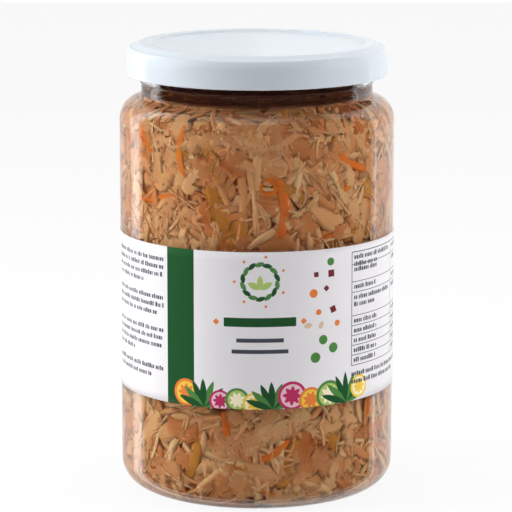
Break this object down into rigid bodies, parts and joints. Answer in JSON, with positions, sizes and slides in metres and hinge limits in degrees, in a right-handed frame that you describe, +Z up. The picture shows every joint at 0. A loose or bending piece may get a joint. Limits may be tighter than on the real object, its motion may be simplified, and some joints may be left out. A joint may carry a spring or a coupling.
{
  "type": "sauerkraut jar",
  "caption": "Round clear glass jar of shredded sauerkraut with carrot in brine, closed by a white twist-off cap and wrapped by a wide paper label.",
  "frame": {"origin": "centre of the foot, at the bottom of the jar", "axes": "+Z up along the jar's axis, -Y towards the front of the label"},
  "size_m": [0.0892, 0.0891, 0.1461],
  "materials": {
    "glass": "clear moulded glass",
    "cabbage": "wet shredded cabbage in brine",
    "brine": "clear brown brine",
    "paper": "smooth printed paper",
    "enamel": "satin white enamel on tinplate"
  },
  "bodies": {
    "root": {"jar": "glass", "sauerkraut": "cabbage", "brine": "brine", "label": "paper", "cap": "enamel"}
  },
  "joints": []
}
